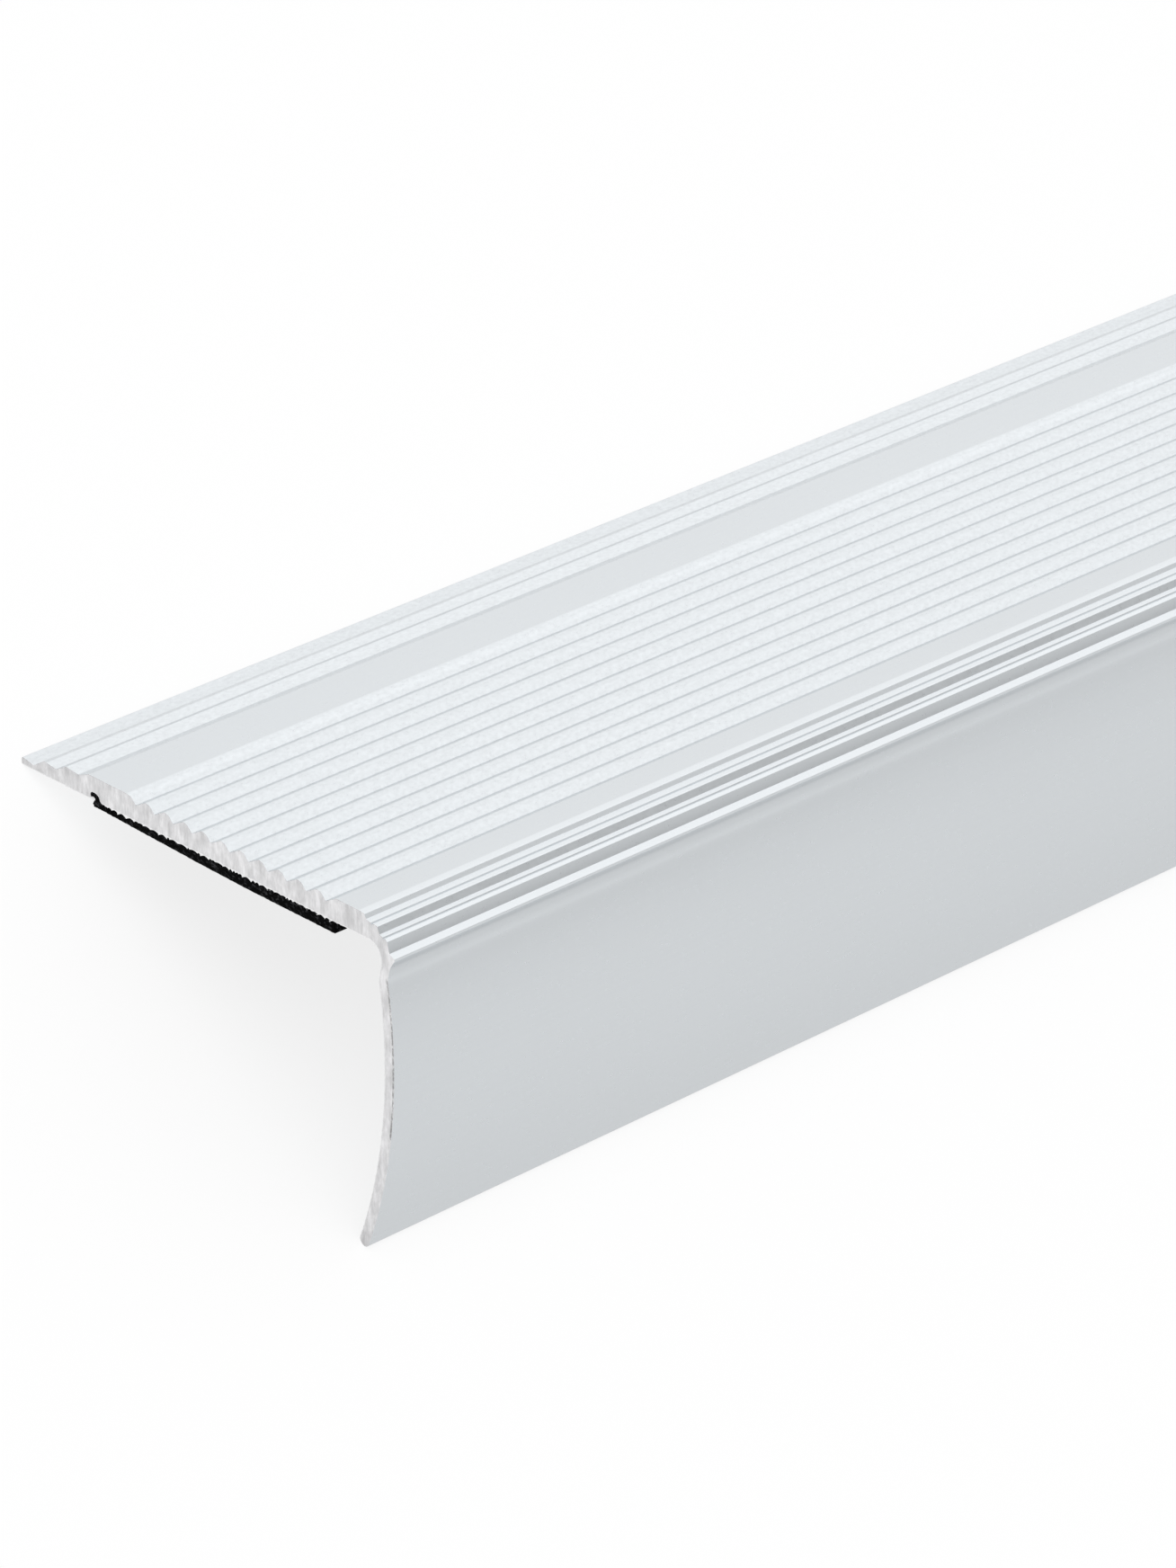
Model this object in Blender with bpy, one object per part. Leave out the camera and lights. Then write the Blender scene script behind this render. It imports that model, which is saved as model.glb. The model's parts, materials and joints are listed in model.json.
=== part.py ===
"""Stair nosing: a ribbed aluminium angle profile with an adhesive foam strip under its tread.

The section is drawn in the plane of Y and Z as it sits on a stair: Y runs from the nose
line back over the tread, and Z runs up from the plane of the rib crests. It is extruded
along X. The finished part is then turned to lie as it rests by itself, on the toe of its
flange and the back edge of its tread. All sizes are in metres.
"""

import math

import bmesh
import bpy
from mathutils import Matrix, Vector

# Stock length and wall
LENGTH = 0.900
TREAD_THICKNESS = 0.0024
BACK_EDGE_HEIGHT = 0.00074

# Stepped nose: distance behind the nose line and depth below the tread of each step's
# lip, then of the foot of the riser under it
NOSE_DEPTH = 0.0047
NOSE_STEPS = (
    (0.00399, 0.00007, 0.00375, 0.00055),
    (0.00229, 0.00072, 0.00197, 0.00145),
    (0.00096, 0.00183, 0.00066, 0.00293),
)
NOSE_ROUNDING = 0.00012
NOSE_FOOT_ROUNDING = 0.00006

# Fine grooves along the two narrow treads of the nose: each one's back lip, floor and front lip
NOSE_GROOVES = (
    ((0.00314, 0.00068), (0.00307, 0.00086), (0.00282, 0.00067)),
    ((0.00154, 0.00157), (0.00147, 0.00175), (0.00125, 0.00160)),
)
GROOVE_ROUNDING = 0.00002

# Place where the last riser turns a little less steep
LAST_RISER_BEND = (0.00080, 0.00250)

# Bead below the steps, where the nose line turns under into the flange
BEAD_DEPTH = 0.00326
BEAD_ROUNDING = 0.00010

# Plain bands and grip ribs, from the nose backwards
FRONT_BAND_WIDTH = 0.00312
RIB_COUNT = 11
RIB_PITCH = 0.00264
RIB_DEPTH = 0.00077
RIB_SHOULDER_WIDTH = 0.00060
RIB_SHOULDER_DROP = 0.00014
RIB_FRONT_WIDTH = 0.00121
RIB_ROUNDING = 0.00040
VALLEY_ROUNDING = 0.00010
REAR_BAND_WIDTH = 0.00553

# Saw-tooth flutes that step down towards the back edge
FLUTE_COUNT = 3
FLUTE_PITCH = 0.00327
FLUTE_FALL_WIDTH = 0.00150
FLUTE_FIRST_DROP = 0.00040
FLUTE_DROP_GROWTH = 0.00020
FLUTE_LIP = 0.00018
FLUTE_ROUNDING = 0.00015

# Bowed flange
FLANGE_THICKNESS = 0.0012
OVERALL_DROP = 0.0350
BOW_RADIUS = 0.0540
BOW_APEX_DROP = 0.0145
FLANGE_SETBACK = 0.00025
BOW_TOP_DROP = 0.0063
RECESS_RADIUS = 0.0034
NOSE_WALL = 0.0017
INNER_FILLET = 0.0018
INNER_FILLET_TURN = math.radians(110)

# Adhesive foam strip under the tread
STRIP_WIDTH = 0.0340
STRIP_THICKNESS = 0.00095
STRIP_CLEARANCE = 0.0003
STRIP_START_BEHIND_STEP = 0.0033
STRIP_SQUARE_WIDTH = 0.0110
STRIP_END_SKEW = 0.00070

# Shred of foam that the saw dragged over the profile's end
SHRED_WIDTH = 0.0015
SHRED_THICKNESS = 0.00036
SHRED_INSET = 0.0004
SHRED_RISE = 0.0012
SHRED_ROOT = 0.0009
SHRED_SKIN = 0.00012

# Fineness of the curves, and the least angle that is shaded as an edge
CORNER_STEPS = 4
BOW_STEPS = 44
RECESS_STEPS = 10
TOE_STEPS = 10
FILLET_STEPS = 12
EDGE_ANGLE = math.radians(30)

# Derived places in the section
RIBS_START = NOSE_DEPTH + FRONT_BAND_WIDTH
RIBS_END = RIBS_START + RIB_COUNT * RIB_PITCH
FLUTES_START = RIBS_END + REAR_BAND_WIDTH
TREAD_DEPTH = FLUTES_START + FLUTE_COUNT * FLUTE_PITCH
OUTER_BOW_RADIUS = BOW_RADIUS + FLANGE_THICKNESS
BOW_CENTRE = Vector((FLANGE_SETBACK + OUTER_BOW_RADIUS, -BOW_APEX_DROP))
TOE_RADIUS = FLANGE_THICKNESS / 2
TOE_SINE = (OVERALL_DROP - TOE_RADIUS - BOW_APEX_DROP) / (BOW_RADIUS + TOE_RADIUS)
TOE_ANGLE = math.pi + math.asin(TOE_SINE)
BOW_TOP_RISE = BOW_APEX_DROP - BOW_TOP_DROP
OUTER_BOW_TOP = math.pi - math.asin(BOW_TOP_RISE / OUTER_BOW_RADIUS)
INNER_BOW_TOP = math.pi - math.asin(BOW_TOP_RISE / BOW_RADIUS)
STRIP_FRONT = NOSE_DEPTH + STRIP_START_BEHIND_STEP
STRIP_BACK = STRIP_FRONT + STRIP_WIDTH
STRIP_TOP = -TREAD_THICKNESS - STRIP_CLEARANCE
STRIP_BOTTOM = STRIP_TOP - STRIP_THICKNESS
SHRED_REACH = STRIP_CLEARANCE + SHRED_THICKNESS

ALUMINIUM_COLOUR = (0.78, 0.80, 0.82, 1.0)
ALUMINIUM_ROUGHNESS = 0.38
FOAM_COLOUR = (0.010, 0.010, 0.011, 1.0)
FOAM_ROUGHNESS = 0.85


def clear_scene():
    for old in list(bpy.data.objects):
        bpy.data.objects.remove(old, do_unlink=True)


def make_material(name, colour, roughness, metallic):
    material = bpy.data.materials.new(name)
    material.use_nodes = True
    shader = material.node_tree.nodes["Principled BSDF"]
    shader.inputs["Base Color"].default_value = colour
    shader.inputs["Roughness"].default_value = roughness
    shader.inputs["Metallic"].default_value = metallic
    return material


def arc(centre, radius, start, end, steps):
    """Points on a circle from one angle to another, both ends included."""
    points = []
    for step in range(steps + 1):
        angle = start + (end - start) * step / steps
        points.append(centre + radius * Vector((math.cos(angle), math.sin(angle))))
    return points


def rounded(corners, steps=CORNER_STEPS):
    """Turn (y, z, radius) corners into points, each inner corner rounded by its radius."""
    points = [Vector(corners[0][:2])]
    for before, corner, after in zip(corners, corners[1:], corners[2:]):
        tip = Vector(corner[:2])
        back = Vector(before[:2]) - tip
        ahead = Vector(after[:2]) - tip
        half_angle = back.angle(ahead) / 2
        reach = min(corner[2] / math.tan(half_angle), back.length / 2, ahead.length / 2)
        bisector = (back.normalized() + ahead.normalized()).normalized()
        middle = tip + bisector * reach / math.cos(half_angle)
        first = tip + back.normalized() * reach - middle
        last = tip + ahead.normalized() * reach - middle
        turn = first.angle_signed(last)
        for step in range(steps + 1):
            spin = Matrix.Rotation(-turn * step / steps, 2)
            points.append(middle + spin @ first)
    points.append(Vector(corners[-1][:2]))
    return points


def flute_crest_drop(index):
    """Depth of a flute's crest below the ribs: each step down is larger than the last."""
    return index * FLUTE_FIRST_DROP + index * (index - 1) / 2 * FLUTE_DROP_GROWTH


def flute_corners():
    """Back edge and flutes, from the back of the tread to the rear plain band."""
    corners = [
        (TREAD_DEPTH, -TREAD_THICKNESS, 0.0),
        (TREAD_DEPTH, -TREAD_THICKNESS + BACK_EDGE_HEIGHT, FLUTE_ROUNDING),
    ]
    for index in reversed(range(FLUTE_COUNT)):
        crest_y = FLUTES_START + index * FLUTE_PITCH
        valley_drop = flute_crest_drop(index + 1) + FLUTE_LIP
        corners.append((crest_y + FLUTE_FALL_WIDTH, -valley_drop, VALLEY_ROUNDING))
        corners.append((crest_y, -flute_crest_drop(index), FLUTE_ROUNDING))
    return corners


def rib_corners():
    """Grip ribs, each with a low shoulder, a steep front and a long rise to the next."""
    corners = []
    for index in range(RIB_COUNT):
        crest_y = RIBS_END - index * RIB_PITCH
        corners.append((crest_y, 0.0, RIB_ROUNDING))
        corners.append((crest_y - RIB_SHOULDER_WIDTH, -RIB_SHOULDER_DROP, RIB_ROUNDING))
        corners.append((crest_y - RIB_FRONT_WIDTH, -RIB_DEPTH, VALLEY_ROUNDING))
    corners.append((RIBS_START, 0.0, RIB_ROUNDING))
    return corners


def nose_corners():
    """Steps round the nose, with a fine groove along each of its treads, down to the bead."""
    risers = []
    for lip_y, lip_drop, foot_y, foot_drop in NOSE_STEPS:
        lip = (lip_y, -lip_drop, NOSE_ROUNDING)
        foot = (foot_y, -foot_drop, NOSE_FOOT_ROUNDING)
        risers.append([lip, foot])
    first, second, third = risers
    crest = [(NOSE_DEPTH, 0.0, NOSE_ROUNDING)]
    grooves = [[(y, -drop, GROOVE_ROUNDING) for y, drop in groove] for groove in NOSE_GROOVES]
    bend = (LAST_RISER_BEND[0], -LAST_RISER_BEND[1], NOSE_ROUNDING)
    third.insert(1, bend)
    bead = [(0.0, -BEAD_DEPTH, BEAD_ROUNDING)]
    return crest + first + grooves[0] + second + grooves[1] + third + bead


def recess_arc():
    """Hollow under the bead, from the nose line down to its tangent with the bow."""
    outward = Vector((math.cos(OUTER_BOW_TOP), math.sin(OUTER_BOW_TOP)))
    centre = BOW_CENTRE + (OUTER_BOW_RADIUS + RECESS_RADIUS) * outward
    start = math.acos(-centre.x / RECESS_RADIUS)
    return arc(centre, RECESS_RADIUS, start, OUTER_BOW_TOP - math.pi, RECESS_STEPS)


def toe_arc():
    """Full round at the foot of the flange, from its outer face to its inner one."""
    along = Vector((math.cos(TOE_ANGLE), math.sin(TOE_ANGLE)))
    centre = BOW_CENTRE + (BOW_RADIUS + TOE_RADIUS) * along
    return arc(centre, TOE_RADIUS, TOE_ANGLE, TOE_ANGLE + math.pi, TOE_STEPS)


def inner_fillet_arc():
    """Inner corner, from the wall behind the nose up to the tread's underside."""
    centre = Vector((NOSE_WALL + INNER_FILLET, -TREAD_THICKNESS - INNER_FILLET))
    top = math.pi / 2
    return arc(centre, INNER_FILLET, top + INNER_FILLET_TURN, top, FILLET_STEPS)


def section_outline():
    """Closed outline of the extrusion, from the back edge over the tread and round."""
    recess = recess_arc()
    corners = flute_corners() + rib_corners() + nose_corners()
    outline = rounded(corners + [(*recess[0], 0.0)])
    outline += recess[1:]
    outline += arc(BOW_CENTRE, OUTER_BOW_RADIUS, OUTER_BOW_TOP, TOE_ANGLE, BOW_STEPS)[1:]
    outline += toe_arc()[1:]
    outline += arc(BOW_CENTRE, BOW_RADIUS, TOE_ANGLE, INNER_BOW_TOP, BOW_STEPS)[1:]
    outline += inner_fillet_arc()
    return outline


def extrude(name, points, place, travel, material):
    """Closed solid made by moving a flat outline along a straight line."""
    shape = bmesh.new()
    face = shape.faces.new([shape.verts.new(place(point)) for point in points])
    moved = bmesh.ops.extrude_face_region(shape, geom=[face])["geom"]
    new_verts = [item for item in moved if isinstance(item, bmesh.types.BMVert)]
    bmesh.ops.translate(shape, verts=new_verts, vec=travel)
    bmesh.ops.recalc_face_normals(shape, faces=shape.faces)
    mesh = bpy.data.meshes.new(name)
    shape.to_mesh(mesh)
    shape.free()
    mesh.materials.append(material)
    solid = bpy.data.objects.new(name, mesh)
    bpy.context.collection.objects.link(solid)
    return solid


def make_profile(outline, material):
    near_end = -LENGTH / 2
    profile = extrude(
        "nosing_profile",
        outline,
        lambda point: (near_end, point.x, point.y),
        (LENGTH, 0.0, 0.0),
        material,
    )
    profile.data.shade_smooth()
    profile.data.set_sharp_from_angle(angle=EDGE_ANGLE)
    return profile


def make_strip(material):
    """Foam strip, cut askew at the back of its near end, with the shred joined to it."""
    near_end = -LENGTH / 2
    plan = [
        (near_end, STRIP_FRONT + STRIP_SQUARE_WIDTH),
        (near_end, STRIP_FRONT),
        (LENGTH / 2, STRIP_FRONT),
        (LENGTH / 2, STRIP_BACK),
        (near_end + STRIP_END_SKEW, STRIP_BACK),
    ]
    strip = extrude(
        "adhesive_strip",
        plan,
        lambda point: (point[0], point[1], STRIP_BOTTOM),
        (0.0, 0.0, STRIP_THICKNESS),
        material,
    )
    join = strip.modifiers.new("join_shred", "BOOLEAN")
    join.operation = "UNION"
    join.object = make_shred(material)
    return strip


def make_shred(material):
    """Tongue of foam that runs out from under the tread and up in front of its end."""
    near_end = -LENGTH / 2
    strip_end = near_end + STRIP_END_SKEW
    front = near_end - STRIP_CLEARANCE
    root = strip_end + SHRED_ROOT
    top = -TREAD_THICKNESS + SHRED_RISE
    middle_z = (STRIP_TOP + STRIP_BOTTOM) / 2
    side = [
        (root, STRIP_TOP - SHRED_SKIN),
        (front, STRIP_TOP - SHRED_SKIN),
        (front, top),
        (front - SHRED_THICKNESS, top),
        (front - SHRED_THICKNESS, STRIP_TOP),
        (front, middle_z),
        (strip_end, STRIP_BOTTOM + SHRED_SKIN),
        (root, STRIP_BOTTOM + SHRED_SKIN),
    ]
    back = STRIP_BACK - SHRED_INSET
    shred = extrude(
        "shred_shape",
        side,
        lambda point: (point[0], back - SHRED_WIDTH, point[1]),
        (0.0, SHRED_WIDTH, 0.0),
        material,
    )
    shred.hide_render = True
    shred.display_type = "WIRE"
    return shred


def lay_down(outline, parts):
    """Turn the parts to rest on the flange's toe and the tread's back edge."""
    back_edge = outline[0]
    to_back_edge = [back_edge - point for point in outline[1:-1]]
    lean = max(math.atan2(reach.y, reach.x) for reach in to_back_edge)
    turn = Matrix.Rotation(-lean, 2)
    turned = [turn @ point for point in outline]
    middle_y = (min(point.x for point in turned) + max(point.x for point in turned)) / 2
    bottom_z = min(point.y for point in turned)
    pose = bpy.data.objects.new("resting_pose", None)
    bpy.context.collection.objects.link(pose)
    pose.rotation_euler = (-lean, 0.0, 0.0)
    pose.location = (SHRED_REACH / 2, -middle_y, -bottom_z)
    for part in parts:
        part.parent = pose


def build():
    clear_scene()
    aluminium = make_material("satin_aluminium", ALUMINIUM_COLOUR, ALUMINIUM_ROUGHNESS, 1.0)
    foam = make_material("black_foam", FOAM_COLOUR, FOAM_ROUGHNESS, 0.0)
    outline = section_outline()
    profile = make_profile(outline, aluminium)
    strip = make_strip(foam)
    shred = strip.modifiers["join_shred"].object
    lay_down(outline, [profile, strip, shred])


build()
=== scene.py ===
"""Looks of the stair nosing: satin anodised metal, sawn ends with their burr, and a foam strip.

Lengths below are in millimetres in the section's own frame, as the nosing sits on a stair: y runs
back from the nose line, z runs up from the rib crests, and x runs along the length from the near
sawn end. Section.place turns them into metres in the frame's own space.
"""

import json
import math
import random

import bmesh
import bpy
from mathutils import Matrix, Vector, noise


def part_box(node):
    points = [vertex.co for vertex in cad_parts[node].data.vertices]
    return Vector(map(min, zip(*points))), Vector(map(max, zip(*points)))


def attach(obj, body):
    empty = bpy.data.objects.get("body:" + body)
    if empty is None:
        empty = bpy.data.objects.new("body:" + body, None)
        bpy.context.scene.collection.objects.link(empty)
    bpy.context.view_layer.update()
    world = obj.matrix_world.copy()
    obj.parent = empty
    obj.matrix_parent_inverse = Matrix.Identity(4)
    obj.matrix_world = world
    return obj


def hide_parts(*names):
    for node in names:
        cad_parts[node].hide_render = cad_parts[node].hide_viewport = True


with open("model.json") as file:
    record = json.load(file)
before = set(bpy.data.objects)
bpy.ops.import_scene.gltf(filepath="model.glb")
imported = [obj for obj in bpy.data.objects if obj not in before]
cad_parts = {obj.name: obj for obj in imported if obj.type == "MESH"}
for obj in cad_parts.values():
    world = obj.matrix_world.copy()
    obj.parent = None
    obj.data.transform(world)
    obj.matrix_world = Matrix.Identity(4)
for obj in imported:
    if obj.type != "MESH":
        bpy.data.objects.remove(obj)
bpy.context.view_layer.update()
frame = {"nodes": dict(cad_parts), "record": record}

MM = 0.001
ALONG = Vector((1.0, 0.0, 0.0))
PROFILE = "nosing_profile"
STRIP = "adhesive_strip"

# Section of the metal along its inner edge
TREAD_UNDERSIDE = -2.4
BACK_EDGE_Y = 52.2
FLANGE_THICKNESS = 1.2
BOW_RADIUS = 54.0
BOW_CENTRE_Y = 55.45
BOW_CENTRE_DROP = 14.5
BOW_TOP_DROP = 6.3
TOE_DROP = 34.4
INNER_FILLET = 1.8
INNER_FILLET_CENTRE = (3.5, -4.2)
INNER_FILLET_TURN = math.radians(100)

# Smoothing of the metal's solid
SHARP_EDGE = math.radians(30)
WELD_DISTANCE = 0.005

# Foam strip
STRIP_FRONT = 8.0
STRIP_BACK = 42.0
STRIP_BOTTOM = -3.65
STRIP_TOP = -2.43
STRIP_SQUARE_END = 19.0
STRIP_END_SKEW = 0.70
STRIP_SKEW_CURVE = 1.3
STRIP_PROUD = 0.03
STRIP_FAR_SETBACK = 0.06
STRIP_STEP = 0.16
STRIP_ROWS = 8
STRIP_STATIONS = (0.0, 0.15, 0.4, 0.9, 2.0, 6.0)
STRIP_SPANS = 6

# Cut ends of the strip: how far the edges stray, with waves for each millimetre and a seed
RAGGED_DEPTH = 0.9
RAGGED_LOSS = 0.07
NEAR_CUT_STRAY = (0.05, 3.0, 1.0)
FAR_CUT_STRAY = (0.05, 3.0, 2.0)
UPPER_EDGE_STRAY = (0.09, 1.5, 3.0)
UPPER_EDGE_CRUMBS = (0.05, 5.0, 4.0)
LOWER_EDGE_STRAY = (0.015, 2.5, 5.0)
CUT_TWIST = 3.0
SEED_OFFSET = 0.37

# The strip's underside is the mounting face, whose point lies in the middle of it
FACE_Y = (STRIP_FRONT + STRIP_BACK) / 2
FACE_Z = STRIP_BOTTOM

# Shred of foam at the strip's near end: the hook's outline in y and z, and its root in x and z
SHRED_HOOK = (
    (41.45, -1.29), (41.47, -1.76), (41.01, -1.66), (40.74, -1.76), (41.03, -2.13), (41.23, -2.47),
    (40.05, -2.60), (39.32, -2.55), (40.02, -2.18), (40.33, -2.03), (40.50, -1.63), (40.89, -1.38),
    (41.38, -1.34),
)
SHRED_FRONT = -0.62
SHRED_REAR = -0.34
SHRED_ROOT = (
    (-0.58, -2.36), (-0.36, -2.36), (-0.30, -2.48), (1.40, -2.48), (1.40, -3.45), (0.70, -3.45),
    (-0.20, -2.92), (-0.56, -2.68),
)
SHRED_ROOT_SPAN = (39.7, 41.1)
SHRED_VOXEL = 0.055
SHRED_SOFTENING = 3
SHRED_LUMPS = ((0.035, 3.0), (0.02, 9.0))
SHRED_LIMIT = -0.65

# Burr: a fringe of teeth, deep where the saw broke out into the foam and shallow elsewhere
BURR_STEP = 0.05
BURR_DEEP = 0.30
BURR_SHALLOW = 0.05
BURR_LEAST = 0.01
BURR_ROOT = 0.05
BURR_TIP_SHARE = 0.4
BURR_LEAN = 0.7
BURR_SCALLOP = (0.30, 1.30)
BURR_TEETH = (0.1, 1.0)
BURR_TOOTH_CURVE = 1.5
BURR_BACK_GAP = 0.4
FACING_DOWN = -0.99
NEAR_BURR_PROUD = 0.05
FAR_BURR_PROUD = 0.0
NEAR_BURR_SEED = 11
FAR_BURR_SEED = 17

# Camera, level in the section's frame, in millimetres from the near end of the nose line
IMAGE_HEIGHT_PX = 1744
FOCAL_LENGTH_PX = 8455
SENSOR_HEIGHT = 36.0
CAMERA_PLACE = (-404.1, -449.0, 319.5)
CAMERA_HEADING = math.radians(46.36)
CAMERA_DIP = math.radians(26.80)
NEAREST_SEEN_M = 0.01
FARTHEST_SEEN_M = 100.0

# Light
WHITE = (1.0, 1.0, 1.0, 1.0)
STUDIO_LEVEL = 0.62
KEY_FROM = (-0.3, 0.2, 1.0)
KEY_STRENGTH = 0.9
KEY_SPREAD = math.radians(50)
TOP_LIGHT_FROM = (0.6, -0.05, 0.8)
TOP_LIGHT_STRENGTH = 0.04
TOP_LIGHT_SPREAD = math.radians(70)
FLOOR_COLOUR = (0.22, 0.22, 0.22, 1.0)
FLOOR_GLOW = 0.80
FLOOR_HALF_SIZE_M = 12.0

# Grey cards that only the metal's gloss sees, in metres
CARD_RADIUS = 1.6
CARD_STEP = math.radians(3)
CARD_GAP = 0.0270
CARD_LIFT = 0.00005
CARD_HALF_LENGTH = 6.0
CARD_EYE = 0.02

# Tones of the cards by degrees of rise, seen from the nosing
FRONT_TONES = (
    (-36.0, 0.735), (-20.0, 0.785), (-10.0, 0.80), (0.0, 0.81), (9.0, 0.80), (16.0, 0.755),
    (26.0, 0.64), (36.0, 0.42), (45.0, 0.28), (50.0, 0.50), (56.0, 0.82), (68.0, 1.0),
)
BACK_TONES = (
    (-55.0, 0.70), (-36.0, 0.78), (-12.0, 0.89), (0.0, 0.935), (4.0, 0.965), (7.0, 1.0),
)


class Section:
    """Turns section lengths in millimetres into places in the frame."""

    def __init__(self):
        face = frame["record"]["mounts"][0]
        down = Vector(face["axis"]).normalized()
        self.up = -down
        self.back = Vector((0.0, -down.z, down.y))
        self.lean = math.atan2(self.up.y, self.up.z)
        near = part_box(PROFILE)[0].x
        face_point = Vector(face["pos_m"])
        self.origin = face_point - self.back * FACE_Y * MM - self.up * FACE_Z * MM
        self.origin.x = near
        self.length = (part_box(PROFILE)[1].x - near) / MM

    def place(self, x, y, z):
        along = Vector((x * MM, 0.0, 0.0))
        return self.origin + along + self.back * y * MM + self.up * z * MM

    def turn(self):
        """Rotation that takes a section direction to a frame direction."""
        return Matrix((ALONG, self.back, self.up)).transposed()


section = Section()


def link(name, data):
    made = bpy.data.objects.new(name, data)
    bpy.context.scene.collection.objects.link(made)
    return made


def turn_faces_outward(mesh):
    shape = bmesh.new()
    shape.from_mesh(mesh)
    bmesh.ops.recalc_face_normals(shape, faces=shape.faces)
    shape.to_mesh(mesh)
    shape.free()


# Node helpers


def new_material(name):
    material = bpy.data.materials.new(name)
    material.use_nodes = True
    tree = material.node_tree
    return material, tree, tree.nodes["Principled BSDF"]


def add_node(tree, kind, **settings):
    node = tree.nodes.new(kind)
    for key, value in settings.items():
        setattr(node, key, value)
    return node


def feed(tree, socket, value):
    """Links another node's output to a socket, or sets the socket to a constant."""
    if isinstance(value, bpy.types.NodeSocket):
        tree.links.new(value, socket)
    else:
        socket.default_value = value


def math_node(tree, operation, *values):
    node = add_node(tree, "ShaderNodeMath", operation=operation)
    for socket, value in zip(node.inputs, values):
        feed(tree, socket, value)
    return node.outputs[0]


def product(tree, values):
    """All the values multiplied together."""
    result = values[0]
    for value in values[1:]:
        result = math_node(tree, "MULTIPLY", result, value)
    return result


def map_range(tree, value, span, result=(0.0, 1.0)):
    """Maps a span of values to a span of results, and holds the end values outside it."""
    node = add_node(tree, "ShaderNodeMapRange")
    tree.links.new(value, node.inputs["Value"])
    node.inputs["From Min"].default_value = span[0]
    node.inputs["From Max"].default_value = span[1]
    node.inputs["To Min"].default_value = result[0]
    node.inputs["To Max"].default_value = result[1]
    return node.outputs["Result"]


def between(tree, value, span, edge):
    """One inside a span and nought outside it."""
    low, high = span
    above = map_range(tree, value, (low - edge / 2, low + edge / 2))
    below = map_range(tree, value, (high - edge / 2, high + edge / 2), (1.0, 0.0))
    return math_node(tree, "MULTIPLY", above, below)


def mix_value(tree, factor, first, second):
    node = add_node(tree, "ShaderNodeMix", data_type="FLOAT")
    tree.links.new(factor, node.inputs["Factor"])
    for socket, value in zip(node.inputs[2:4], (first, second)):
        feed(tree, socket, value)
    return node.outputs[0]


def mix_colour(tree, factor, first, second):
    node = add_node(tree, "ShaderNodeMix", data_type="RGBA")
    tree.links.new(factor, node.inputs["Factor"])
    for socket, value in zip(node.inputs[6:8], (first, second)):
        feed(tree, socket, value)
    return node.outputs[2]


def scaled(tree, vector, amount):
    """A vector or colour times a value."""
    node = add_node(tree, "ShaderNodeVectorMath", operation="SCALE")
    feed(tree, node.inputs[0], vector)
    feed(tree, node.inputs["Scale"], amount)
    return node.outputs[0]


def cosine(tree, first, second):
    """Cosine of the angle between two directions."""
    node = add_node(tree, "ShaderNodeVectorMath", operation="DOT_PRODUCT")
    for socket, value in zip(node.inputs, (first, second)):
        feed(tree, socket, value)
    return node.outputs["Value"]


def tone_ramp(tree, value, tones):
    """Tone read from a list of values and their tones."""
    low, high = tones[0][0], tones[-1][0]
    ramp = add_node(tree, "ShaderNodeValToRGB")
    tree.links.new(map_range(tree, value, (low, high)), ramp.inputs["Fac"])
    stops = ramp.color_ramp.elements
    while len(stops) < len(tones):
        stops.new(0.5)
    for stop, (place, tone) in zip(stops, tones):
        stop.position = (place - low) / (high - low)
        stop.color = (tone, tone, tone, 1.0)
    return ramp.outputs["Color"]


def section_coordinates(tree):
    """Section coordinates in millimetres, with x from the near end."""
    place = add_node(tree, "ShaderNodeTexCoord").outputs["Object"]
    shift = add_node(tree, "ShaderNodeVectorMath", operation="SUBTRACT")
    tree.links.new(place, shift.inputs[0])
    shift.inputs[1].default_value = section.origin
    turned = add_node(tree, "ShaderNodeVectorRotate", rotation_type="X_AXIS")
    tree.links.new(shift.outputs[0], turned.inputs["Vector"])
    turned.inputs["Angle"].default_value = section.lean
    return scaled(tree, turned.outputs[0], 1 / MM)


def stretched_noise(tree, coordinates, per_mm, detail, roughness):
    """Noise with its own count of features for each millimetre along x, y and z."""
    stretch = add_node(tree, "ShaderNodeVectorMath", operation="MULTIPLY")
    tree.links.new(coordinates, stretch.inputs[0])
    stretch.inputs[1].default_value = per_mm
    texture = add_node(tree, "ShaderNodeTexNoise")
    tree.links.new(stretch.outputs[0], texture.inputs["Vector"])
    texture.inputs["Scale"].default_value = 1.0
    texture.inputs["Detail"].default_value = detail
    texture.inputs["Roughness"].default_value = roughness
    return texture.outputs["Fac"]


def add_bump(tree, shader, height, distance):
    bump = add_node(tree, "ShaderNodeBump")
    bump.inputs["Strength"].default_value = 1.0
    bump.inputs["Distance"].default_value = distance
    tree.links.new(height, bump.inputs["Height"])
    tree.links.new(bump.outputs["Normal"], shader.inputs["Normal"])


# Metal

METAL_COLOUR = (0.783, 0.815, 0.838)
SAWN_COLOUR = (0.820, 0.817, 0.825)
BURR_COLOUR = (0.930, 0.930, 0.935)

# Noises: features for each millimetre along x, y and z, then detail and roughness
GRAIN = ((1.82, 2.6, 2.6), 3.0, 0.6)
DIE_LINES = ((0.004, 5.0, 5.0), 2.0, 0.6)
SAW_LINES = ((1.0, 2.6, 0.6), 4.0, 0.7)
SAW_BLOTS = ((1.0, 0.9, 0.45), 3.0, 0.6)
# Dots that break up the painted shade along the rims of the sawn ends
RIM_SHADE_DOTS = ((1.0, 3.0, 2.4), 3.0, 0.65)
TORN_METAL = ((6.0, 6.0, 6.0), 2.0, 0.6)

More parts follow.
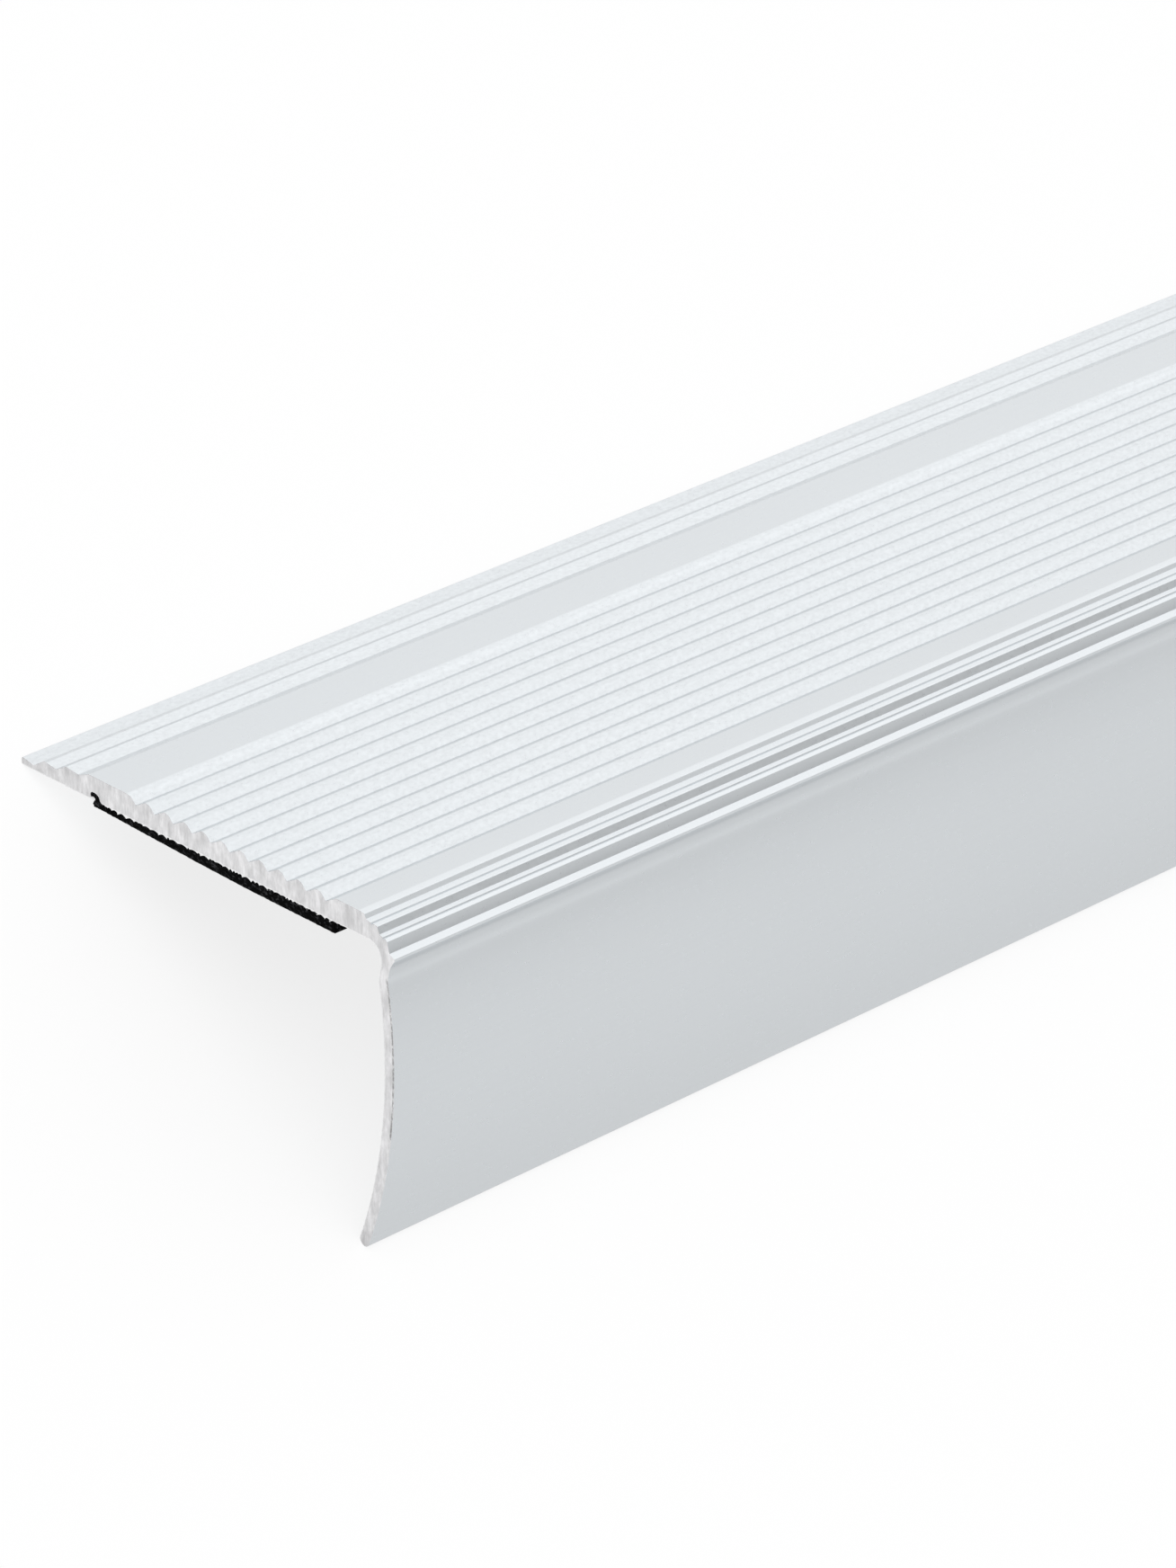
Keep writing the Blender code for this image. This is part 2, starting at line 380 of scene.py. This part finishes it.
# Spans of the noises, and the tones, roughness and relief that they give
NOISE_SPAN = (0.3, 0.7)
PLAIN_GRAIN_TONE = (0.997, 1.003)
GRIP_GRAIN_TONE = (0.935, 1.050)
DIE_LINE_TONE = (0.995, 1.005)
SAW_LINE_SPAN = (0.32, 0.68)
SAW_LINE_TONE = (0.90, 1.09)
SAW_BLOT_SPAN = (0.34, 0.66)
SAW_BLOT_TONE = (0.86, 1.10)
# Painted shade along the rims of the sawn ends, broken into dots
RIM_SHADE_DOT_SPAN = (0.36, 0.54)
RIM_SHADE_TONE = (1.0, 0.55)
SKIN_ROUGHNESS = (0.27, 0.33)
SAWN_SPAN = (0.2, 0.8)
SAWN_ROUGHNESS = (0.58, 0.74)
GRIP_RELIEF = 0.2
METAL_RELIEF = 0.02
TORN_TONE = (0.90, 1.05)
TORN_ROUGHNESS = (0.30, 0.45)

# Zones of the section, in y or z, with the width over which each one fades
GRIP_ZONES = ((7.8, 36.9), (42.3, 60.0))
GRIP_ZONE_EDGE = 0.2
NOSE_ZONE_Y = (-1.0, 4.75)
NOSE_ZONE_Z = (-3.3, 1.0)
NOSE_ZONE_EDGE = 0.1
# Painted highlight: the nose steps' colour is made lighter by this share
NOSE_HIGHLIGHT_TONE = 1.075

# Shade on the faces of the grooves that look back: cosines where it starts and is full, and tones
GROOVE_COSINES = (0.38, 0.46)
GROOVE_TONE = 0.78
FLUTE_GROOVE_TONE = 0.85

# Painted highlight and shade in bands across the tread: y where each one starts and ends, and its
# tone
UPWARD_COSINES = (0.0, 0.2)
TREAD_LIGHT_TONES = (
    (4.8, 7.8, 0.96), (7.8, 36.0, 1.035), (36.0, 37.0, 1.07), (43.9, 48.6, 1.085),
    (48.6, 49.2, 0.91), (49.2, 60.0, 1.025),
)
TREAD_LIGHT_EDGE = 0.15

# Hollow under the bead: z and tone, on the faces that look to the front
FORWARD_COSINES = (-0.4, -0.2)
RECESS_TONES = (
    (-5.8, 1.0), (-5.45, 0.965), (-5.2, 0.935), (-4.8, 0.925), (-4.45, 0.90), (-4.2, 0.835),
    (-3.95, 0.87), (-3.7, 0.94), (-3.5, 1.0),
)

# Sawn ends: cosines at which a face counts as an end, and the painted shade along their edges and
# along the flange's outer edge
END_COSINES = (0.6, 0.8)
# Painted shade along the edges of the sawn ends
RIM_SHADE_WIDTH = 0.16
RIM_SHADE_SAMPLES = 6
RIM_SHADE_COSINES = (0.80, 0.99)
RIM_SHADE_STARTS = (TREAD_UNDERSIDE + 0.3, TREAD_UNDERSIDE + 0.6)
# Painted shade in a dark line along the outer edge of the flange's end
FLANGE_EDGE_SHADE_WIDTH = 0.26
FLANGE_EDGE_SHADE_SOFTNESS = 0.12
FLANGE_EDGE_SHADE_SPAN = (-23.0, -4.8)
FLANGE_EDGE_SHADE_FADE = 2.4
FLANGE_EDGE_SHADE_CHANGE = (-14.0, -7.0)
FLANGE_EDGE_SHADE_SHARES = (1.0, 0.88)


class MetalPoint:
    """What the shader knows of a point on the metal: its place in the section and how it faces."""

    def __init__(self, tree):
        self.coordinates = section_coordinates(tree)
        parts = add_node(tree, "ShaderNodeSeparateXYZ")
        tree.links.new(self.coordinates, parts.inputs[0])
        self.y = parts.outputs["Y"]
        self.z = parts.outputs["Z"]
        geometry = add_node(tree, "ShaderNodeNewGeometry")
        self.true_normal = geometry.outputs["True Normal"]
        normal = geometry.outputs["Normal"]
        self.backward = cosine(tree, normal, section.back)
        self.upward = cosine(tree, normal, section.up)
        self.sideways = math_node(tree, "ABSOLUTE", cosine(tree, normal, ALONG))


def painted_nose_highlight(tree, point):
    """Painted highlight on the nose steps, whose colour is made lighter."""
    back = between(tree, point.y, NOSE_ZONE_Y, NOSE_ZONE_EDGE)
    high = between(tree, point.z, NOSE_ZONE_Z, NOSE_ZONE_EDGE)
    return mix_value(tree, math_node(tree, "MULTIPLY", back, high), 1.0, NOSE_HIGHLIGHT_TONE)


def groove_tone(tree, point):
    """Shade in the grooves between the ribs, and a fainter one in the flutes."""
    groove = map_range(tree, point.backward, GROOVE_COSINES)
    flutes = between(tree, point.y, GRIP_ZONES[1], GRIP_ZONE_EDGE)
    return mix_value(tree, groove, 1.0, mix_value(tree, flutes, GROOVE_TONE, FLUTE_GROOVE_TONE))


def recess_tone(tree, point):
    """Shade in the hollow under the bead."""
    forward = map_range(tree, point.backward, FORWARD_COSINES, (1.0, 0.0))
    return mix_value(tree, forward, 1.0, tone_ramp(tree, point.z, RECESS_TONES))


def painted_tread_light(tree, point):
    """Painted highlight and shade in bands across the tread, on faces that look up."""
    on_top = map_range(tree, point.upward, UPWARD_COSINES)
    tones = []
    for low, high, tone in TREAD_LIGHT_TONES:
        band = between(tree, point.y, (low, high), TREAD_LIGHT_EDGE)
        tones.append(mix_value(tree, math_node(tree, "MULTIPLY", on_top, band), 1.0, tone))
    return product(tree, tones)


def skin_colour_and_painted_light(tree, point, grain, grip):
    """Anodised skin, grainy on the ribs and plain on the bands, with painted highlight and shade on
    the nose, grooves, hollow and bands.
    """
    plain = map_range(tree, grain, NOISE_SPAN, PLAIN_GRAIN_TONE)
    grainy = map_range(tree, grain, NOISE_SPAN, GRIP_GRAIN_TONE)
    lines = stretched_noise(tree, point.coordinates, *DIE_LINES)
    tones = [
        mix_value(tree, grip, plain, grainy),
        map_range(tree, lines, NOISE_SPAN, DIE_LINE_TONE),
        painted_nose_highlight(tree, point),
        groove_tone(tree, point),
        recess_tone(tree, point),
        painted_tread_light(tree, point),
    ]
    return scaled(tree, METAL_COLOUR, product(tree, tones))


def painted_rim_shade(tree, point):
    """Painted shade: one close to the edges of a sawn end, apart from the lower edges that carry
    the burr.
    """
    bevel = add_node(tree, "ShaderNodeBevel", samples=RIM_SHADE_SAMPLES)
    bevel.inputs["Radius"].default_value = RIM_SHADE_WIDTH * MM
    likeness = cosine(tree, bevel.outputs["Normal"], point.true_normal)
    near_edge = map_range(tree, likeness, RIM_SHADE_COSINES, (1.0, 0.0))
    return math_node(tree, "MULTIPLY", near_edge, map_range(tree, point.z, RIM_SHADE_STARTS))


def painted_flange_edge_shade(tree, point):
    """Painted shade: one along the outer edge of the flange's end."""
    across = math_node(tree, "SUBTRACT", BOW_CENTRE_Y, point.y)
    down = math_node(tree, "ADD", point.z, BOW_CENTRE_DROP)
    squares = [math_node(tree, "MULTIPLY", value, value) for value in (across, down)]
    radius = math_node(tree, "SQRT", math_node(tree, "ADD", *squares))
    start = BOW_RADIUS + FLANGE_THICKNESS - FLANGE_EDGE_SHADE_WIDTH
    edge = FLANGE_EDGE_SHADE_SOFTNESS / 2
    shares = [
        map_range(tree, radius, (start - edge, start + edge)),
        map_range(tree, point.z, FLANGE_EDGE_SHADE_CHANGE, FLANGE_EDGE_SHADE_SHARES),
        between(tree, point.z, FLANGE_EDGE_SHADE_SPAN, FLANGE_EDGE_SHADE_FADE),
    ]
    return product(tree, shares)


def sawn_colour_and_painted_shade(tree, point, saw):
    """Bare metal of a sawn end, with saw lines and blots, and painted shade in dark dots along its
    rims.
    """
    blots = stretched_noise(tree, point.coordinates, *SAW_BLOTS)
    shade_dots = stretched_noise(tree, point.coordinates, *RIM_SHADE_DOTS)
    rim = math_node(tree, "MAXIMUM", painted_rim_shade(tree, point), painted_flange_edge_shade(tree, point))
    tones = [
        map_range(tree, saw, SAW_LINE_SPAN, SAW_LINE_TONE),
        map_range(tree, blots, SAW_BLOT_SPAN, SAW_BLOT_TONE),
        map_range(tree, math_node(tree, "MULTIPLY", rim, shade_dots), RIM_SHADE_DOT_SPAN, RIM_SHADE_TONE),
    ]
    return scaled(tree, SAWN_COLOUR, product(tree, tones))


def aluminium_material():
    """Satin anodised skin, with bare sawn metal on the ends, and painted highlight and shade in
    their colours.
    """
    material, tree, shader = new_material("satin_aluminium")
    point = MetalPoint(tree)
    grain = stretched_noise(tree, point.coordinates, *GRAIN)
    saw = stretched_noise(tree, point.coordinates, *SAW_LINES)
    grips = [between(tree, point.y, zone, GRIP_ZONE_EDGE) for zone in GRIP_ZONES]
    grip = math_node(tree, "ADD", *grips)
    end_face = map_range(tree, point.sideways, END_COSINES)

    skin = skin_colour_and_painted_light(tree, point, grain, grip)
    sawn = sawn_colour_and_painted_shade(tree, point, saw)
    tree.links.new(mix_colour(tree, end_face, skin, sawn), shader.inputs["Base Color"])

    skin_roughness = map_range(tree, grain, NOISE_SPAN, SKIN_ROUGHNESS)
    sawn_roughness = map_range(tree, saw, SAWN_SPAN, SAWN_ROUGHNESS)
    roughness = mix_value(tree, end_face, skin_roughness, sawn_roughness)
    tree.links.new(roughness, shader.inputs["Roughness"])
    shader.inputs["Metallic"].default_value = 1.0

    skin_height = product(tree, [grain, grip, GRIP_RELIEF])
    add_bump(tree, shader, mix_value(tree, end_face, skin_height, saw), METAL_RELIEF * MM)
    return material


def burr_material():
    """Torn bright metal of the saw's burr."""
    material, tree, shader = new_material("bright_burr")
    torn = stretched_noise(tree, section_coordinates(tree), *TORN_METAL)
    tone = map_range(tree, torn, NOISE_SPAN, TORN_TONE)
    tree.links.new(scaled(tree, BURR_COLOUR, tone), shader.inputs["Base Color"])
    roughness = map_range(tree, torn, NOISE_SPAN, TORN_ROUGHNESS)
    tree.links.new(roughness, shader.inputs["Roughness"])
    shader.inputs["Metallic"].default_value = 1.0
    return material


def weld_and_smooth(angle, distance):
    """Geometry nodes that join a mesh's split corners and shade it smooth up to an edge angle."""
    group = bpy.data.node_groups.new("weld_and_smooth", "GeometryNodeTree")
    group.interface.new_socket("Geometry", in_out="INPUT", socket_type="NodeSocketGeometry")
    group.interface.new_socket("Geometry", in_out="OUTPUT", socket_type="NodeSocketGeometry")
    start = group.nodes.new("NodeGroupInput")
    end = group.nodes.new("NodeGroupOutput")
    weld = group.nodes.new("GeometryNodeMergeByDistance")
    weld.inputs["Distance"].default_value = distance
    faces = group.nodes.new("GeometryNodeSetShadeSmooth")
    edges = group.nodes.new("GeometryNodeSetShadeSmooth")
    edges.domain = "EDGE"
    edges.inputs["Shade Smooth"].default_value = False
    edge_angle = group.nodes.new("GeometryNodeInputMeshEdgeAngle")
    sharp = group.nodes.new("FunctionNodeCompare")
    sharp.inputs[1].default_value = angle
    group.links.new(edge_angle.outputs["Unsigned Angle"], sharp.inputs[0])
    group.links.new(sharp.outputs[0], edges.inputs["Selection"])
    group.links.new(start.outputs[0], weld.inputs["Geometry"])
    group.links.new(weld.outputs["Geometry"], faces.inputs["Geometry"])
    group.links.new(faces.outputs[0], edges.inputs["Geometry"])
    group.links.new(edges.outputs[0], end.inputs[0])
    return group


def dress_profile(metal):
    """The metal keeps its own solid, with smooth curves, flat bands and a new material that carries
    painted highlight and shade.
    """
    profile = frame["nodes"][PROFILE]
    profile.data.materials.clear()
    profile.data.materials.append(metal)
    if "custom_normal" in profile.data.attributes:
        profile.data.attributes.remove(profile.data.attributes["custom_normal"])
    smooth = profile.modifiers.new("weld_and_smooth", "NODES")
    smooth.node_group = weld_and_smooth(SHARP_EDGE, WELD_DISTANCE * MM)
    flats = profile.modifiers.new("flat_bands", "WEIGHTED_NORMAL")
    flats.keep_sharp = True


# Foam strip

FOAM_COLOUR = (0.0022, 0.0022, 0.0024)
FOAM_GRAIN = ((6.0, 1.8, 3.2), 4.0, 0.65)
FOAM_PORE_SPAN = (0.52, 0.68)
FOAM_PORE_TONE = (0.8, 34.0)
FOAM_SPAN = (0.2, 0.8)
FOAM_ROUGHNESS = (0.75, 0.95)
FOAM_GLOSS = 0.04
FOAM_RELIEF = 0.08


def foam_material():
    """Black closed-cell foam: fine open pores on the cut, and a faint grain."""
    material, tree, shader = new_material("black_foam")
    grain = stretched_noise(tree, section_coordinates(tree), *FOAM_GRAIN)
    tone = map_range(tree, grain, FOAM_PORE_SPAN, FOAM_PORE_TONE)
    tree.links.new(scaled(tree, FOAM_COLOUR, tone), shader.inputs["Base Color"])
    roughness = map_range(tree, grain, FOAM_SPAN, FOAM_ROUGHNESS)
    tree.links.new(roughness, shader.inputs["Roughness"])
    shader.inputs["Specular IOR Level"].default_value = FOAM_GLOSS
    add_bump(tree, shader, grain, FOAM_RELIEF * MM)
    return material


def stray(along, depth, waves, seed):
    """Seeded noise along a line, with its own depth and count of waves for each millimetre."""
    return depth * noise.noise(Vector((along * waves, seed, SEED_OFFSET * seed)))


def end_setback(y):
    """How far the strip's askew cut lies inside the profile's near end."""
    share = max(0.0, (y - STRIP_SQUARE_END) / (STRIP_BACK - STRIP_SQUARE_END))
    return STRIP_END_SKEW * share ** STRIP_SKEW_CURVE


def strip_grid():
    """Values of y and z across the strip, close enough together to carry a ragged edge."""
    width = STRIP_BACK - STRIP_FRONT
    count = round(width / STRIP_STEP)
    across = [STRIP_FRONT + width * i / count for i in range(count + 1)]
    height = STRIP_TOP - STRIP_BOTTOM
    rows = [STRIP_BOTTOM + height * i / STRIP_ROWS for i in range(STRIP_ROWS + 1)]
    return across, rows


def strip_vertex(station, y, z):
    """A point of the strip: station runs from 0 at the near cut to 1 at the far cut."""
    depth = station * section.length
    near = max(0.0, 1.0 - depth / RAGGED_DEPTH)
    far = max(0.0, 1.0 - (section.length - depth) / RAGGED_DEPTH)
    high = (z - STRIP_BOTTOM) / (STRIP_TOP - STRIP_BOTTOM)
    twist = y + CUT_TWIST * z
    x = depth + near * (end_setback(y) - STRIP_PROUD + stray(twist, *NEAR_CUT_STRAY))
    x -= far * (STRIP_FAR_SETBACK + stray(twist, *FAR_CUT_STRAY))
    loss = max(0.0, RAGGED_LOSS + stray(y, *UPPER_EDGE_STRAY) + stray(y, *UPPER_EDGE_CRUMBS))
    rise = LOWER_EDGE_STRAY[0] + stray(y, *LOWER_EDGE_STRAY)
    z += (near + far) * ((1.0 - high) ** 2 * rise - high ** 2 * loss)
    return section.place(x, y, z)


def cap_strip_end(mesh, station, ring, across, rows):
    """Fills a cut end with a fine grid that shares the ring's corners."""
    columns, levels = len(across), len(rows)
    grid = {}
    for i in range(columns):
        grid[i, 0] = ring[i]
        grid[i, levels - 1] = ring[2 * columns + levels - 3 - i]
    for level in range(1, levels - 1):
        grid[columns - 1, level] = ring[columns - 1 + level]
        grid[0, level] = ring[len(ring) - level]
        for i in range(1, columns - 1):
            grid[i, level] = mesh.verts.new(strip_vertex(station, across[i], rows[level]))
    for i in range(columns - 1):
        for level in range(levels - 1):
            low = [grid[i, level], grid[i + 1, level]]
            high = [grid[i + 1, level + 1], grid[i, level + 1]]
            mesh.faces.new(low + high)


def make_strip(material):
    """Foam strip: a long slab with cut ends of open cells and a ragged upper edge."""
    across, rows = strip_grid()
    outline = [(y, rows[0]) for y in across]
    outline += [(across[-1], z) for z in rows[1:]]
    outline += [(y, rows[-1]) for y in reversed(across[:-1])]
    outline += [(across[0], z) for z in reversed(rows[1:-1])]
    near = [depth / section.length for depth in STRIP_STATIONS]
    middle = [i / STRIP_SPANS for i in range(1, STRIP_SPANS)]
    stations = near + middle + [1.0 - station for station in reversed(near)]
    mesh = bmesh.new()
    rings = []
    for station in stations:
        rings.append([mesh.verts.new(strip_vertex(station, y, z)) for y, z in outline])
    for first, second in zip(rings, rings[1:]):
        for i in range(len(first)):
            j = (i + 1) % len(first)
            mesh.faces.new((first[i], first[j], second[j], second[i]))
    for station, ring in ((0.0, rings[0]), (1.0, rings[-1])):
        cap_strip_end(mesh, station, ring, across, rows)
    bmesh.ops.recalc_face_normals(mesh, faces=mesh.faces)
    data = bpy.data.meshes.new("foam_strip")
    mesh.to_mesh(data)
    mesh.free()
    data.shade_smooth()
    data.materials.append(material)
    strip = link("foam_strip", data)
    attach(strip, "root")
    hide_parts(STRIP)


def prism(vertices, travel):
    """Vertices and faces of a straight prism on a flat outline."""
    count = len(vertices)
    far = [vertex + travel for vertex in vertices]
    faces = [tuple(reversed(range(count))), tuple(range(count, 2 * count))]
    faces += [(i, (i + 1) % count, count + (i + 1) % count, count + i) for i in range(count)]
    return vertices + far, faces


def shred_solids():
    """Mesh of the shred's hook and root, two prisms that pass through each other."""
    hook_outline = [Vector((SHRED_FRONT, y, z)) for y, z in SHRED_HOOK]
    hook, hook_faces = prism(hook_outline, ALONG * (SHRED_REAR - SHRED_FRONT))
    back, front = SHRED_ROOT_SPAN
    root_outline = [Vector((x, back, z)) for x, z in SHRED_ROOT]
    root, root_faces = prism(root_outline, Vector((0.0, front - back, 0.0)))
    mesh = bpy.data.meshes.new("foam_shred")
    root_faces = [tuple(len(hook) + i for i in face) for face in root_faces]
    mesh.from_pydata(hook + root, [], hook_faces + root_faces)
    turn_faces_outward(mesh)
    return mesh


def make_shred(material):
    """Tongue of foam that the saw dragged out and curled up over the end of the tread."""
    shape = link("shred_shape", shred_solids())
    remesh = shape.modifiers.new("one_skin", "REMESH")
    remesh.mode = "VOXEL"
    remesh.voxel_size = SHRED_VOXEL
    smooth = shape.modifiers.new("soften", "SMOOTH")
    smooth.iterations = SHRED_SOFTENING
    graph = bpy.context.evaluated_depsgraph_get()
    data = bpy.data.meshes.new_from_object(shape.evaluated_get(graph))
    bpy.data.objects.remove(shape)
    data.name = "foam_shred"
    for vertex in data.vertices:
        place = vertex.co.copy()
        lump = sum(depth * noise.noise(place * waves) for depth, waves in SHRED_LUMPS)
        place += vertex.normal * lump
        place.x = max(place.x, SHRED_LIMIT)
        vertex.co = section.place(*place)
    data.shade_smooth()
    data.materials.clear()
    data.materials.append(material)
    shred = link("foam_shred", data)
    shred.visible_glossy = False
    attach(shred, "root")


# Burr that the saw left along the lower edges of the cut


def underside_path():
    """Points and outward directions along the inner edge, from the tread's back to the toe."""
    path = []
    y = BACK_EDGE_Y - BURR_BACK_GAP
    while y > INNER_FILLET_CENTRE[0]:
        path.append((Vector((y, TREAD_UNDERSIDE)), Vector((0.0, -1.0))))
        y -= BURR_STEP
    turn = 0.0
    while turn < INNER_FILLET_TURN:
        inward = Vector((math.cos(math.pi / 2 + turn), math.sin(math.pi / 2 + turn)))
        path.append((Vector(INNER_FILLET_CENTRE) + inward * INNER_FILLET, -inward))
        turn += BURR_STEP / INNER_FILLET
    angle = math.pi - math.asin((BOW_CENTRE_DROP - BOW_TOP_DROP) / BOW_RADIUS)
    toe = math.pi + math.asin((TOE_DROP - BOW_CENTRE_DROP) / BOW_RADIUS)
    while angle < toe:
        inward = Vector((math.cos(angle), math.sin(angle)))
        path.append((Vector((BOW_CENTRE_Y, -BOW_CENTRE_DROP)) + inward * BOW_RADIUS, -inward))
        angle += BURR_STEP / BOW_RADIUS
    return path


def scallops(count, seed):
    """Shares from 0 to 1 for a row of points: hollow scallops that meet in seeded teeth."""
    draw = random.Random(seed)
    shares = []
    while len(shares) < count:
        width = max(2, round(draw.uniform(*BURR_SCALLOP) / BURR_STEP))
        depth = draw.uniform(*BURR_TEETH)
        shares += [depth * abs(2.0 * i / width - 1.0) ** BURR_TOOTH_CURVE for i in range(width)]
    return shares[:count]


def burr_mesh(name, end, inward, proud, seed):
    """A closed bar with four corners that follows the metal's inner edge."""
    path = underside_path()
    vertices = []
    for (point, outward), share in zip(path, scallops(len(path), seed)):
        over_foam = outward.y < FACING_DOWN and STRIP_FRONT < point.x < STRIP_BACK
        height = BURR_LEAST + share * (BURR_DEEP if over_foam else BURR_SHALLOW)
        curl = proud * (BURR_LEAN + (1.0 - BURR_LEAN) * share)
        tip = BURR_TIP_SHARE * BURR_ROOT
        corners = ((0.0, -BURR_ROOT), (-curl, height), (tip, height), (BURR_ROOT, 0.0))
        for offset, away in corners:
            flat = point + outward * away
            vertices.append(section.place(end + inward * offset, flat.x, flat.y))
    count = len(vertices) // len(path)
    last = len(vertices) - count
    faces = [tuple(range(count)), tuple(reversed(range(last, last + count)))]
    for low in range(0, last, count):
        for i in range(count):
            j = (i + 1) % count
            faces.append((low + i, low + j, low + count + j, low + count + i))
    mesh = bpy.data.meshes.new(name)
    mesh.from_pydata(vertices, [], faces)
    mesh.validate()
    turn_faces_outward(mesh)
    return mesh


def make_burr(name, material, end, inward, proud, seed):
    """Ragged fringe of metal on one cut edge. Inward is 1 at the near end and -1 at the far end."""
    burr = link(name, burr_mesh(name, end, inward, proud, seed))
    burr.data.materials.append(material)
    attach(burr, "root")


# Stage, light and camera


def emission_material(name):
    material = bpy.data.materials.new(name)
    material.use_nodes = True
    tree = material.node_tree
    tree.nodes.clear()
    glow = add_node(tree, "ShaderNodeEmission")
    out = add_node(tree, "ShaderNodeOutputMaterial")
    tree.links.new(glow.outputs[0], out.inputs["Surface"])
    return material, tree, glow


def seen_rays(tree):
    """One for rays that end in the picture: from the camera, or through gloss or glass."""
    path = add_node(tree, "ShaderNodeLightPath")
    seen = math_node(tree, "MAXIMUM", path.outputs["Is Camera Ray"], path.outputs["Is Glossy Ray"])
    return math_node(tree, "MAXIMUM", seen, path.outputs["Is Transmission Ray"])


def make_floor():
    """Pale floor that takes the object's shadow, brought up to white where it is seen."""
    half = FLOOR_HALF_SIZE_M
    corners = [(-half, -half, 0.0), (half, -half, 0.0), (half, half, 0.0), (-half, half, 0.0)]
    mesh = bpy.data.meshes.new("floor")
    mesh.from_pydata(corners, [], [(0, 1, 2, 3)])
    material, tree, shader = new_material("pale_floor")
    shader.inputs["Base Color"].default_value = FLOOR_COLOUR
    shader.inputs["Roughness"].default_value = 1.0
    shader.inputs["Specular IOR Level"].default_value = 0.0
    shader.inputs["Emission Color"].default_value = WHITE
    glow = math_node(tree, "MULTIPLY", seen_rays(tree), FLOOR_GLOW)
    tree.links.new(glow, shader.inputs["Emission Strength"])
    mesh.materials.append(material)
    link("floor", mesh)


def card_material(name, tones):
    """Glow with tones by degrees of rise, seen from the middle of the nosing."""
    material, tree, glow = emission_material(name)
    parts = add_node(tree, "ShaderNodeSeparateXYZ")
    tree.links.new(add_node(tree, "ShaderNodeTexCoord").outputs["Object"], parts.inputs[0])
    away = math_node(tree, "ABSOLUTE", parts.outputs["Y"])
    height = math_node(tree, "SUBTRACT", parts.outputs["Z"], CARD_EYE)
    degrees = math_node(tree, "DEGREES", math_node(tree, "ARCTAN2", height, away))
    tree.links.new(tone_ramp(tree, degrees, tones), glow.inputs["Color"])
    return material


def make_card(name, side, tones):
    """Grey card along one side of the nosing. Side is -1 in front and 1 behind."""
    top = math.radians(tones[-1][0])
    steps = math.ceil(top / CARD_STEP)
    rim = [(CARD_GAP, CARD_LIFT)]
    for i in range(steps + 1):
        rise = top * i / steps
        rim.append((CARD_RADIUS * math.cos(rise), CARD_RADIUS * math.sin(rise)))
    ends = (-CARD_HALF_LENGTH, CARD_HALF_LENGTH)
    places = [(x, side * away, CARD_LIFT + z) for away, z in rim for x in ends]
    faces = [(2 * i, 2 * i + 1, 2 * i + 3, 2 * i + 2) for i in range(len(rim) - 1)]
    mesh = bpy.data.meshes.new(name)
    mesh.from_pydata(places, [], faces)
    mesh.materials.append(card_material(name, tones))
    card = link(name, mesh)
    card.visible_camera = False
    card.visible_diffuse = False
    card.visible_shadow = False


def make_sun(name, towards, spread, strength, glossy):
    light = bpy.data.lights.new(name, "SUN")
    light.angle = spread
    light.energy = strength
    sun = link(name, light)
    sun.rotation_mode = "QUATERNION"
    sun.rotation_quaternion = Vector(towards).to_track_quat("Z", "Y")
    sun.visible_glossy = glossy


def make_world():
    world = bpy.data.worlds.new("studio")
    bpy.context.scene.world = world
    world.use_nodes = True
    tree = world.node_tree
    background = tree.nodes["Background"]
    background.inputs["Color"].default_value = WHITE
    level = mix_value(tree, seen_rays(tree), STUDIO_LEVEL, 1.0)
    tree.links.new(level, background.inputs["Strength"])


def make_camera():
    """Looks at the near end with a long lens, level as the nosing sits on a stair."""
    data = bpy.data.cameras.new("camera")
    data.sensor_width = SENSOR_HEIGHT
    data.lens = SENSOR_HEIGHT * FOCAL_LENGTH_PX / IMAGE_HEIGHT_PX
    data.clip_start = NEAREST_SEEN_M
    data.clip_end = FARTHEST_SEEN_M
    camera = link("camera", data)
    level = Matrix.Rotation(CAMERA_HEADING - math.pi / 2, 3, "Z")
    dipped = Matrix.Rotation(math.pi / 2 - CAMERA_DIP, 3, "X")
    turned = section.turn() @ level @ dipped
    camera.matrix_world = Matrix.LocRotScale(section.place(*CAMERA_PLACE), turned, None)
    bpy.context.scene.camera = camera


bpy.context.scene.view_settings.view_transform = "Standard"
metal = aluminium_material()
foam = foam_material()
dress_profile(metal)
make_strip(foam)
make_shred(foam)
burr = burr_material()
make_burr("near_burr", burr, 0.0, 1.0, NEAR_BURR_PROUD, NEAR_BURR_SEED)
make_burr("far_burr", burr, section.length, -1.0, FAR_BURR_PROUD, FAR_BURR_SEED)
make_floor()
make_card("front_card", -1, FRONT_TONES)
make_card("back_card", 1, BACK_TONES)
make_sun("key_light", KEY_FROM, KEY_SPREAD, KEY_STRENGTH, False)
make_sun("top_light", TOP_LIGHT_FROM, TOP_LIGHT_SPREAD, TOP_LIGHT_STRENGTH, True)
make_world()
make_camera()
